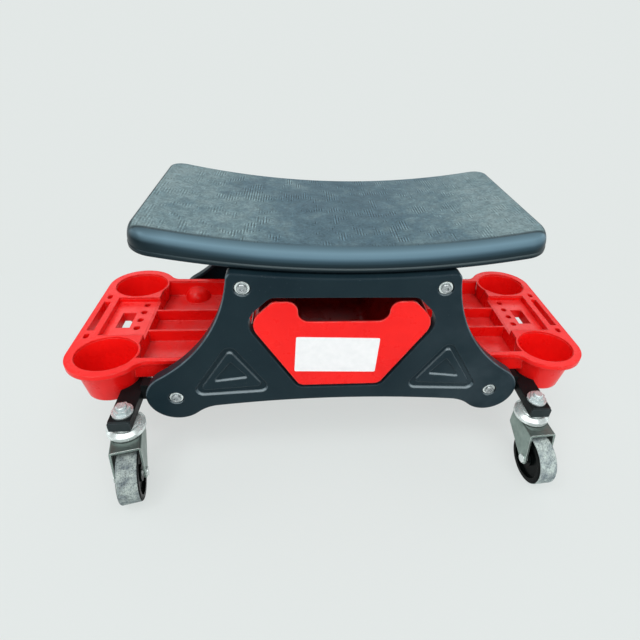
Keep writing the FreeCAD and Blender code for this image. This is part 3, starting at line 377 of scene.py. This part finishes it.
def panel_finish():
    """Satin blue-black moulding with rubbed edges and dust, painted light towards the right, and painted
    highlights on the flank edges and on the ledges in the triangles and bolt seats.
    """
    s = Shade("panel_plastic", specular=0.10)
    wear, round_normal = s.edges(radius=0.0026)
    base = s.ramp(s.noise(scale=12.0, detail=5.0), ((0.30, PANEL_DARK), (0.72, PANEL_MID)))
    scuff_and_highlight = s.clouds(scale=95.0, detail=4.0, start=0.35, end=0.75)
    rubbed = s.times(wear, s.levels(scuff_and_highlight, start=0.0, end=1.0, low=0.35, high=1.0))
    base = s.mix(rubbed, base, PANEL_RUBBED)
    specks = s.clouds(scale=620.0, detail=2.0, high=0.6, rough=0.4, start=0.70, end=0.78)
    base = s.mix(specks, base, PANEL_SPECKS)
    # Painted light: the panels grow paler towards the right, in cloudy patches
    right_light = s.levels(s.split(s.place)[0], *PANEL_RIGHT_LIGHT_X, high=0.9)
    base = s.mix(s.times(right_light, s.clouds(scale=22.0, detail=5.0)), base, PANEL_RIGHT_LIGHT)
    # Painted highlight along the rounded flank edges, in patches
    flank_highlight = s.times(flank_edge(s), s.levels(scuff_and_highlight, start=0.0, end=1.0, low=0.45, high=0.95))
    base = s.mix(flank_highlight, base, PANEL_FLANK_HIGHLIGHT)
    # Painted highlights on the upward ledges in the triangles and in the bolt seats
    ledge_highlight = s.levels(s.split(round_normal)[2], start=0.40, end=0.70)
    ledge_highlight = s.times(ledge_highlight, s.most(in_triangle(s), near_bolts(s)), PANEL_LEDGE_HIGHLIGHT_SHARE)
    s.colour(s.mix(ledge_highlight, base, PANEL_LEDGE_HIGHLIGHT))
    s.rough(s.clouds(scale=60.0, detail=6.0, low=0.28, high=0.42))
    s.normal(s.bump(s.noise(PEEL_SCALE, detail=2.0), strength=0.10, distance=PEEL_DEPTH, normal=round_normal))
    return s.mat


def red_finish():
    """Soft-gloss red moulding with painted shade inside the drawer, dust on the floors of the trays, and pale
    edges that are partly wear and partly painted highlight.
    """
    # The pale pink edges are partly wear and partly a painted highlight along the edges
    s = moulded_plastic("red_plastic", dark=(0.82, 0.0060, 0.0055), mid=(0.93, 0.0110, 0.0085),
                        edge=(0.97, 0.240, 0.215), rough=(0.24, 0.36), bump=0.06, round_edge=0.0024,
                        specular=0.22, end_wear_and_highlight=0.5)
    s.shader.inputs["Subsurface Weight"].default_value = 0.06
    s.shader.inputs["Subsurface Radius"].default_value = (0.003, 0.0006, 0.0005)
    plain = s.shader.inputs["Base Color"].links[0].from_socket
    x, y, z = s.split(s.place)
    facing_x, _, facing_z = s.split(s.turned)
    across = s.size(x)
    inside = s.times(s.below(across, DRAWER_INSIDE_X), s.below(s.size(y), DRAWER_INSIDE_Y))
    inward = s.times(s.above(facing_z, DRAWER_LEAST_RISE), s.below(s.times(facing_x, x), DRAWER_MOST_OUT))
    # Painted shade on the drawer's inner faces
    drawer_shade = s.times(inside, inward, s.clouds(scale=40.0, detail=5.0, low=0.56, high=0.80))
    floors = s.times(s.levels(facing_z, start=0.70, end=0.90), s.below(z, TRAY_DUST_TOP))
    floors = s.times(floors, s.above(across, DRAWER_INSIDE_X))
    dust = s.clouds(scale=34.0, detail=5.0, low=0.25, high=1.0, rough=0.6, start=0.35, end=0.65)
    pale = s.most(s.above(z, TRAY_DECK_FOOT), s.above(x, 0.0))
    dusty = s.mix(s.times(floors, dust), plain, s.mix(pale, RED_DUST_DEEP, RED_DUST_PALE))
    s.colour(s.mix(drawer_shade, dusty, RED_DRAWER_SHADE))
    return s.mat


def pan_finish():
    return moulded_plastic("pan_plastic", dark=(0.0035, 0.0050, 0.0060), mid=(0.0060, 0.0085, 0.0100),
                           edge=(0.035, 0.045, 0.050), rough=(0.5, 0.65), bump=0.15, round_edge=0.0010,
                           specular=0.10).mat


def runner_finish():
    return moulded_plastic("runner_plastic", dark=(0.014, 0.014, 0.016), mid=(0.022, 0.022, 0.025),
                           edge=(0.06, 0.06, 0.065), rough=(0.45, 0.6), bump=0.12, round_edge=0.0008).mat


def plug_finish():
    return moulded_plastic("plug_plastic", dark=(0.014, 0.021, 0.023), mid=(0.024, 0.034, 0.037),
                           edge=(0.09, 0.11, 0.12), rough=(0.42, 0.58), bump=0.12, round_edge=0.0012,
                           specular=0.15).mat


def hub_finish():
    return moulded_plastic("hub_plastic", dark=(0.0012, 0.0024, 0.0024), mid=(0.0026, 0.0044, 0.0044),
                           edge=(0.020, 0.027, 0.027), rough=(0.24, 0.40), bump=0.14, round_edge=0.0010,
                           specular=0.05).mat


def powder_coat():
    """Black powder coat: pebbled gloss with chips along the edges."""
    s = Shade("powder_coat", specular=0.12)
    wear, round_normal = s.edges(radius=0.0010)
    chips = s.clouds(scale=260.0, detail=4.0, start=0.60, end=0.68)
    base = s.ramp(s.noise(scale=18.0, detail=4.0),
                  ((0.3, (0.0045, 0.0060, 0.0065)), (0.7, (0.0085, 0.0105, 0.0115))))
    s.colour(s.mix(s.times(wear, chips), base, (0.08, 0.09, 0.095)))
    s.rough(s.clouds(scale=120.0, detail=4.0, low=0.34, high=0.5))
    pebbles = s.cells(scale=850.0, feature="SMOOTH_F1")
    s.normal(s.bump(pebbles, strength=0.18, distance=0.0005, normal=round_normal))
    return s.mat


def zinc_plate(name, tones, metal, grime, rough, soot_and_shade=0.0):
    """Zinc plate with drawn streaks, cloudy passivation, grime, soot and painted shade on upward faces, and
    bright rubbed edges.
    """
    s = Shade(name, metallic=metal)
    wear, round_normal = s.edges(radius=0.0012)
    cloud = s.noise(scale=70.0, detail=6.0, rough=0.6)
    base = s.ramp(cloud, tuple(zip((0.28, 0.52, 0.78), tones)))
    stain = s.clouds(scale=38.0, detail=5.0, high=grime, rough=0.65, start=0.54, end=0.74)
    base = s.mix(stain, base, ZINC_GRIME)
    base = s.mix(s.levels(s.split(s.turned)[2], start=0.3, end=0.8, high=soot_and_shade), base, ZINC_SOOT_AND_SHADE)
    s.colour(s.mix(wear, base, ZINC_RUBBED))
    streak = s.noise(scale=220.0, detail=3.0, rough=0.6, vector=s.stretched(1.0, 1.0, 0.12))
    gloss = s.plus(streak, s.times(cloud, 0.6))
    s.rough(s.levels(gloss, start=0.5, end=1.1, low=rough[0], high=rough[1]))
    s.normal(s.bump(streak, strength=0.04, distance=0.0002, normal=round_normal))
    return s.mat


def bolt_finish():
    """Dark passivated bolt head with bright rubbed edges."""
    s = Shade("bolt_zinc", metallic=0.8)
    wear, round_normal = s.edges(radius=0.0007)
    base = s.ramp(s.noise(scale=240.0, detail=5.0), ((0.3, (0.34, 0.37, 0.38)), (0.7, (0.52, 0.56, 0.57))))
    s.colour(s.mix(wear, base, (0.88, 0.91, 0.92)))
    s.rough(s.clouds(scale=420.0, detail=3.0, low=0.20, high=0.36))
    grain = s.noise(scale=700.0, detail=2.0)
    s.normal(s.bump(grain, strength=0.04, distance=0.0002, normal=round_normal))
    return s.mat


def tyre_finish():
    """Black tyre, its tread worn to a dusty speckled grey with dark scuffs, and darker on the left; its dark
    sides are partly painted shade.
    """
    s = Shade("tyre_rubber", specular=0.05)
    grit = s.cells(scale=520.0)
    cloud = s.ramp(s.noise(scale=85.0, detail=6.0, rough=0.7), TYRE_CLOUDS)
    tread = s.tinted(s.ramp(grit, TYRE_SPECKS), cloud)
    smear = s.clouds(scale=40.0, detail=5.0, rough=0.7, start=0.55, end=0.70,
                     vector=s.stretched(1.0, 1.0, 0.35))
    tread = s.mix(s.times(smear, 0.6), tread, TYRE_SMEAR)
    tread = s.tinted(tread, s.levels(s.split(s.place)[0], start=-0.1, end=0.1, low=0.74, high=1.0))
    # Dark sides: black rubber, and painted shade where the fork leg shades them
    side = s.levels(s.size(s.split(s.turned)[0]), start=0.50, end=0.78)
    s.colour(s.mix(side, tread, TYRE_SIDE_BLACK_AND_SHADE))
    s.rough(s.minus(s.clouds(scale=160.0, detail=4.0, low=0.62, high=0.88), s.times(side, 0.3)))
    _, round_normal = s.edges(radius=0.0008)
    height = s.plus(grit, s.noise(scale=300.0, detail=4.0))
    s.normal(s.bump(height, strength=0.30, distance=0.0006, normal=round_normal))
    return s.mat


def label_finish():
    """Plain white vinyl label, faintly cloudy, with a fine uneven gloss."""
    s = Shade("label_vinyl")
    s.colour(s.ramp(s.noise(scale=120.0, detail=5.0), ((0.3, (0.78, 0.79, 0.80)), (0.7, (0.86, 0.86, 0.87)))))
    s.rough(s.clouds(scale=300.0, detail=3.0, low=0.30, high=0.44))
    s.normal(s.bump(s.noise(scale=500.0, detail=2.0), strength=0.05, distance=0.0002))
    return s.mat


def seat_face(s, across):
    """Colour of the sitting face in clouds, with painted sheen that makes it paler towards both ends."""
    cloud = s.plus(s.clouds(scale=13.0, detail=6.0, low=0.38, high=0.64, rough=0.62),
                   s.clouds(scale=55.0, detail=5.0, low=-0.12, high=0.12, rough=0.7))
    painted_end_sheen = s.levels(across, start=0.035, end=0.200, low=-0.10, high=0.22)
    return s.ramp(s.plus(cloud, painted_end_sheen), SEAT_FACE_TONES)


def seat_roll(s, x, across):
    """Colour of the smooth edge roll, with its painted highlight band and painted shade, shaded towards its
    ends and most at the left.
    """
    low = s.add("ShaderNodeAttribute", attribute_name="low").outputs["Fac"]
    shade = s.times(s.levels(across, start=0.09, end=0.21, high=0.9), s.levels(low, start=0.20, end=0.45))
    shade = s.times(shade, s.levels(x, start=-0.05, end=0.05, low=1.0, high=0.3))
    roll = s.mix(shade, s.ramp(low, SEAT_ROLL_PAINTED_LIGHT), SEAT_ROLL_SHADE)
    return s.tinted(roll, s.levels(s.times(x, -1.0), start=0.185, end=0.225, low=1.0, high=0.45))


def seat_ribs(s):
    """Fine ribs that show only in broken patches, and the patches."""
    ribs = s.add("ShaderNodeTexWave", bands_direction="X")
    ribs.inputs["Scale"].default_value = RIB_SCALE
    ribs.inputs["Distortion"].default_value = 0.8
    ribs.inputs["Detail Scale"].default_value = 0.3
    s.join(s.place, ribs.inputs["Vector"])
    patches = s.clouds(scale=60.0, detail=3.0, rough=0.6, start=0.54, end=0.62,
                       vector=s.stretched(1.0, 0.75, 1.0))
    return s.times(ribs.outputs["Fac"], patches), patches


def seat_finish():
    """Moulded skin: patches of fine ribs on the sitting face, smooth and glossy blue on the rolled front,
    with painted highlight, sheen and shade.
    """
    s = Shade("seat_skin", specular=0.36)
    s.shader.inputs["Specular Tint"].default_value = SEAT_GLOSS_TINT
    grain = s.add("ShaderNodeAttribute", attribute_name="grain").outputs["Fac"]
    x = s.split(s.place)[0]
    across = s.size(x)
    ribs, patches = seat_ribs(s)
    depth = s.levels(across, start=0.10, end=0.19, low=1.5, high=0.8)
    ridge = s.times(s.minus(ribs, s.times(patches, 0.5)), depth)
    fleck = s.clouds(scale=330.0, detail=4.0, low=0.64, high=1.36, rough=0.7)
    mottle = s.clouds(scale=140.0, detail=3.0, low=0.82, high=1.18, rough=0.6)
    face = s.tinted(seat_face(s, across), s.times(s.plus(1.08, ridge), s.times(fleck, mottle)))
    # Painted shade along the crease between the sitting face and the roll, deeper towards the ends
    dip = s.levels(across, start=0.04, end=0.20, low=-0.5, high=-3.0)
    crease_shade = s.times(grain, s.minus(1.0, grain), dip)
    s.colour(s.tinted(s.mix(grain, seat_roll(s, x, across), face), s.plus(1.0, crease_shade)))
    s.rough(s.plus(s.clouds(scale=30.0, detail=6.0, low=0.30, high=0.40, rough=0.6), s.times(grain, 0.22)))
    fine = s.times(s.noise(PEEL_SCALE, detail=2.0), 0.5)
    s.normal(s.bump(s.times(s.plus(ribs, fine), grain), strength=0.35, distance=0.0006))
    return s.mat


FINISHES = {
    "panel_black": panel_finish(),
    "tray_red": red_finish(),
    "pan_black": pan_finish(),
    "runner_black": runner_finish(),
    "plug_black": plug_finish(),
    "hub_black": hub_finish(),
    "frame_black": powder_coat(),
    "zinc_steel": zinc_plate("zinc_bright", ((0.70, 0.77, 0.76), (0.84, 0.91, 0.90), (0.92, 0.97, 0.96)),
                             metal=0.55, grime=0.20, rough=(0.20, 0.32)),
    "bearing_steel": zinc_plate("bearing_steel", ((0.50, 0.52, 0.52), (0.66, 0.68, 0.68), (0.78, 0.80, 0.80)),
                                metal=0.90, grime=0.10, rough=(0.16, 0.28)),
    "bolt_steel": bolt_finish(),
    "tyre_grey": tyre_finish(),
    "label_white": label_finish(),
    "seat_skin": seat_finish(),
}
# The forks are darker on their upward faces: soot, and painted shade under the swivel race
FORK_FINISH = zinc_plate("zinc_dull", ((0.19, 0.25, 0.225), (0.28, 0.36, 0.33), (0.39, 0.48, 0.44)),
                         metal=0.75, grime=0.5, rough=(0.30, 0.46), soot_and_shade=0.6)
NUT_FINISH = zinc_plate("zinc_blue", ((0.46, 0.54, 0.55), (0.60, 0.68, 0.69), (0.76, 0.83, 0.84)),
                        metal=0.45, grime=0.15, rough=(0.20, 0.32))


def node_finish(name, slot):
    """Finish of a node by its slot, apart from the forks, the caster nuts and studs, and the washers."""
    if name.endswith("_fork"):
        return FORK_FINISH
    if "_nut" in name or name.endswith("_stud"):
        return NUT_FINISH
    if name == "panel_washers":
        return FINISHES["zinc_steel"]
    return FINISHES[slot]


def dress_nodes():
    """Give each node its finish."""
    for part in frame["record"]["subparts"]:
        node = frame["nodes"][part["node"]]
        finish = node_finish(part["node"], part["material_slot"])
        if not node.material_slots:
            node.data.materials.append(finish)
        for place in node.material_slots:
            place.material = finish


# Seat pad


def seat_rise(x):
    """Height of the saddle curve above its middle."""
    return SEAT_ARC_R - math.sqrt(SEAT_ARC_R ** 2 - x ** 2)


def pad_reach(inset):
    """Half length, front and back of the pad's outline, drawn in most along its rolled front."""
    return SEAT_HALF_X - inset * PAD_SIDE_SHARE, inset - SEAT_HALF_Y, SEAT_HALF_Y - inset * PAD_BACK_SHARE


def rounded_ring(inset):
    """Points round the pad's plan outline, drawn in by an inset, from the front right corner on."""
    half_x, front, back = pad_reach(inset)
    corner = max(SEAT_CORNER - inset * PAD_SIDE_SHARE, SEAT_LEAST_CORNER)
    flat_x = half_x - corner
    flat_y = (back - front) / 2 - corner
    middle = (back + front) / 2
    arc_steps = PAD_RING_POINTS // 16
    side_steps = PAD_RING_POINTS * 3 // 16
    corners = ((flat_x, middle - flat_y, -90, 2 * flat_y), (flat_x, middle + flat_y, 0, 2 * flat_x),
               (-flat_x, middle + flat_y, 90, 2 * flat_y), (-flat_x, middle - flat_y, 180, 2 * flat_x))
    points = []
    for cx, cy, start, length in corners:
        for step in range(arc_steps):
            angle = math.radians(start + 90.0 * step / arc_steps)
            points.append(Vector((cx + corner * math.cos(angle), cy + corner * math.sin(angle))))
        angle = math.radians(start + 90.0)
        first = Vector((cx + corner * math.cos(angle), cy + corner * math.sin(angle)))
        way = Vector((-math.sin(angle), math.cos(angle))) * length
        points += [first + way * (step / side_steps) for step in range(side_steps)]
    return points


def pad_profile():
    """Rings from the underside, round the skirt, the hem and the edge roll, to the sitting face."""
    rings = list(HEM_RINGS)
    foot = HEM_TOP + HEM_HIGH
    power = 2.0 / PAD_ROLL_FULL
    for step in range(PAD_ROLL_STEPS + 1):
        angle = math.pi / 2 * step / PAD_ROLL_STEPS
        inset = HEM_OUT + PAD_ROLL_DEEP * (1 - math.cos(angle) ** power)
        rings.append((inset, foot + (PAD_THICK - foot) * math.sin(angle) ** power))
    edge = rings[-1][0]
    return rings + [(edge + step, PAD_THICK) for step in PAD_FACE_STEPS]


def ramped(value, limits):
    """Smooth step from zero to one between two limits."""
    share = min(max((value - limits[0]) / (limits[1] - limits[0]), 0.0), 1.0)
    return share * share * (3 - 2 * share)


def pad_vertex(build, layers, spot, height):
    """Vertex on the saddle curve, with how grained it is and how far down the edge."""
    vert = build.verts.new((spot.x, spot.y, PAD_BOTTOM + height + seat_rise(spot.x)))
    grain = ramped(spot.y + SEAT_HALF_Y, GRAIN_FRONT) * ramped(SEAT_HALF_Y - spot.y, GRAIN_BACK)
    grain *= ramped(SEAT_HALF_X - abs(spot.x), GRAIN_SIDE)
    vert[layers[0]] = grain if height > PAD_THICK / 2 else 0.0
    vert[layers[1]] = (PAD_THICK - height) / (PAD_THICK + PAD_SKIRT)
    return vert


def close_ring(build, layers, loop, ring, crown):
    """Fill a ring with a grid that is blended from its four sides, slightly crowned."""
    inset, height = ring
    count = len(loop) // 4
    first = PAD_RING_POINTS // 32
    turn = loop[first:] + loop[:first]
    right = turn[0:count + 1]
    back = turn[count:2 * count + 1][::-1]
    left = turn[2 * count:3 * count + 1][::-1]
    front = turn[3 * count:] + turn[:1]
    half_x, low_y, high_y = pad_reach(inset)
    grid = [[None] * (count + 1) for _ in range(count + 1)]
    for i in range(count + 1):
        grid[i][0], grid[i][count], grid[0][i], grid[count][i] = front[i], back[i], left[i], right[i]
    ends = [front[0].co.xy, front[count].co.xy, back[0].co.xy, back[count].co.xy]
    for i in range(1, count):
        u = i / count
        for j in range(1, count):
            v = j / count
            spot = front[i].co.xy * (1 - v) + back[i].co.xy * v
            spot = spot + left[j].co.xy * (1 - u) + right[j].co.xy * u
            spot = spot - (ends[0] * (1 - u) + ends[1] * u) * (1 - v)
            spot = spot - (ends[2] * (1 - u) + ends[3] * u) * v
            deep = min(half_x - abs(spot.x), spot.y - low_y, high_y - spot.y) / PAD_CROWN_REACH
            rise = crown * math.sin(math.pi / 2 * min(max(deep, 0.0), 1.0))
            grid[i][j] = pad_vertex(build, layers, spot, height + rise)
    for i in range(count):
        for j in range(count):
            build.faces.new((grid[i][j], grid[i + 1][j], grid[i + 1][j + 1], grid[i][j + 1]))


def pad_mesh():
    """Saddle-curved pad: rings round the edge roll, closed by a grid above and below."""
    mesh = bpy.data.meshes.new("seat_pad")
    build = bmesh.new()
    build.verts.layers.float.new("grain")
    build.verts.layers.float.new("low")
    layers = [build.verts.layers.float["grain"], build.verts.layers.float["low"]]
    rings = pad_profile()
    loops = []
    for inset, height in rings:
        loops.append([pad_vertex(build, layers, spot, height) for spot in rounded_ring(inset)])
    for low, high in zip(loops, loops[1:]):
        for i in range(len(low)):
            j = (i + 1) % len(low)
            build.faces.new((low[i], low[j], high[j], high[i]))
    close_ring(build, layers, loops[0], rings[0], 0.0)
    close_ring(build, layers, loops[-1], rings[-1], PAD_CROWN)
    bmesh.ops.recalc_face_normals(build, faces=build.faces)
    for face in build.faces:
        face.smooth = True
    build.to_mesh(mesh)
    build.free()
    return mesh


def build_pad():
    """The pad in place of its plain solid, smoothed once."""
    mesh = pad_mesh()
    pad = bpy.data.objects.new("seat_pad", mesh)
    bpy.context.scene.collection.objects.link(pad)
    mesh.materials.append(FINISHES["seat_skin"])
    smooth = pad.modifiers.new("smooth", "SUBSURF")
    smooth.levels = 1
    smooth.render_levels = 1
    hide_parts("seat_cushion")
    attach(pad, "chassis")


# Stage


def build_floor():
    """Pale floor that keeps the object's shadow near it and runs out into the backdrop's own tone."""
    mesh = bpy.data.meshes.new("floor")
    reach = FLOOR_REACH
    corners = [(-reach, -reach, 0), (reach, -reach, 0), (reach, reach, 0), (-reach, reach, 0)]
    mesh.from_pydata(corners, [], [(0, 1, 2, 3)])
    floor = bpy.data.objects.new("floor", mesh)
    bpy.context.scene.collection.objects.link(floor)
    s = Shade("floor_pale", roughness=1.0, specular=0.0)
    s.shader.inputs["Base Color"].default_value = (*FLOOR_COLOUR, 1.0)
    path = s.add("ShaderNodeLightPath")
    seen = s.most(path.outputs["Is Camera Ray"], path.outputs["Is Glossy Ray"])
    seen = s.most(seen, path.outputs["Is Transmission Ray"])
    away = s.add("ShaderNodeVectorMath", operation="LENGTH")
    s.join(s.place, away.inputs[0])
    share = s.levels(away.outputs["Value"], *FLOOR_FADE, *FLOOR_SHARE)
    glow = s.add("ShaderNodeEmission")
    glow.inputs["Color"].default_value = (*BACKDROP_COLOUR, 1.0)
    blend = s.add("ShaderNodeMixShader")
    s.join(s.times(seen, share), blend.inputs["Fac"])
    s.join(s.shader.outputs["BSDF"], blend.inputs[1])
    s.join(glow.outputs["Emission"], blend.inputs[2])
    s.join(blend.outputs["Shader"], s.tree.nodes["Material Output"].inputs["Surface"])
    mesh.materials.append(s.mat)


def build_world():
    """Soft light from all round, seen by the camera at the backdrop's own tone."""
    world = bpy.data.worlds.new("studio")
    bpy.context.scene.world = world
    world.use_nodes = True
    tree = world.node_tree
    back = tree.nodes["Background"]
    path = tree.nodes.new("ShaderNodeLightPath")
    level = tree.nodes.new("ShaderNodeMapRange")
    level.inputs["To Min"].default_value = WORLD_LIGHT
    level.inputs["To Max"].default_value = 1.0
    tree.links.new(path.outputs["Is Camera Ray"], level.inputs["Value"])
    tree.links.new(level.outputs["Result"], back.inputs["Strength"])
    back.inputs["Color"].default_value = (*BACKDROP_COLOUR, 1.0)


def area_light(name, place, size, power, colour=WHITE, gloss=True):
    """Rectangular lamp that points at the object and that the camera doesn't see."""
    lamp = bpy.data.lights.new(name, "AREA")
    lamp.shape = "RECTANGLE"
    lamp.size, lamp.size_y = size
    lamp.energy = power
    lamp.color = colour
    thing = bpy.data.objects.new(name, lamp)
    thing.location = place
    thing.rotation_euler = (Vector(LIGHT_TARGET) - Vector(place)).to_track_quat("-Z", "Y").to_euler()
    thing.visible_camera = False
    thing.visible_glossy = gloss
    bpy.context.scene.collection.objects.link(thing)


def build_lights():
    area_light("key_front", place=(-0.15, -1.0, 1.9), size=(2.8, 2.0), power=39.0)
    area_light("top_soft", place=(0.1, 0.45, 1.9), size=(1.8, 1.2), power=3.0, colour=COOL)
    area_light("back_soft", place=(0.2, 2.0, 1.62), size=(4.2, 1.35), power=30.0, colour=COOL)
    area_light("low_front", place=(0.6, -2.2, 0.6), size=(2.0, 0.8), power=17.0, gloss=False)
    area_light("spark", place=(-0.9, -0.6, 1.7), size=(0.3, 0.3), power=4.0)
    area_light("left_soft", place=(-1.9, 0.2, 0.9), size=(0.9, 1.0), power=5.0, colour=COOLER)
    area_light("right_soft", place=(1.9, 0.1, 0.9), size=(0.9, 1.0), power=5.0, colour=COOLER)


def build_camera():
    """Camera at the photograph's place, turned by yaw, pitch and roll, with its centre shifted."""
    yaw, pitch, roll = CAMERA_YAW, CAMERA_PITCH, CAMERA_ROLL
    ahead = Vector((math.sin(yaw) * math.cos(pitch), math.cos(yaw) * math.cos(pitch), -math.sin(pitch)))
    level = Vector((math.cos(yaw), -math.sin(yaw), 0.0))
    above = level.cross(ahead)
    right = level * math.cos(roll) + above * math.sin(roll)
    up = above * math.cos(roll) - level * math.sin(roll)
    lens = bpy.data.cameras.new("photo_view")
    lens.sensor_width = SENSOR_MM
    lens.lens = FOCAL_PX / FRAME_PX * SENSOR_MM
    lens.shift_x = (FRAME_PX / 2 - CENTRE_PX[0]) / FRAME_PX
    lens.shift_y = (CENTRE_PX[1] - FRAME_PX / 2) / FRAME_PX
    lens.clip_start = CLIP_START
    camera = bpy.data.objects.new("photo_view", lens)
    turn = Matrix((right, up, -ahead)).transposed().to_4x4()
    camera.matrix_world = Matrix.Translation(CAMERA_PLACE) @ turn
    bpy.context.scene.collection.objects.link(camera)
    bpy.context.scene.camera = camera


dress_nodes()
build_pad()
build_floor()
build_world()
build_lights()
build_camera()
bpy.context.scene.view_settings.view_transform = "Standard"

bpy.context.view_layer.update()
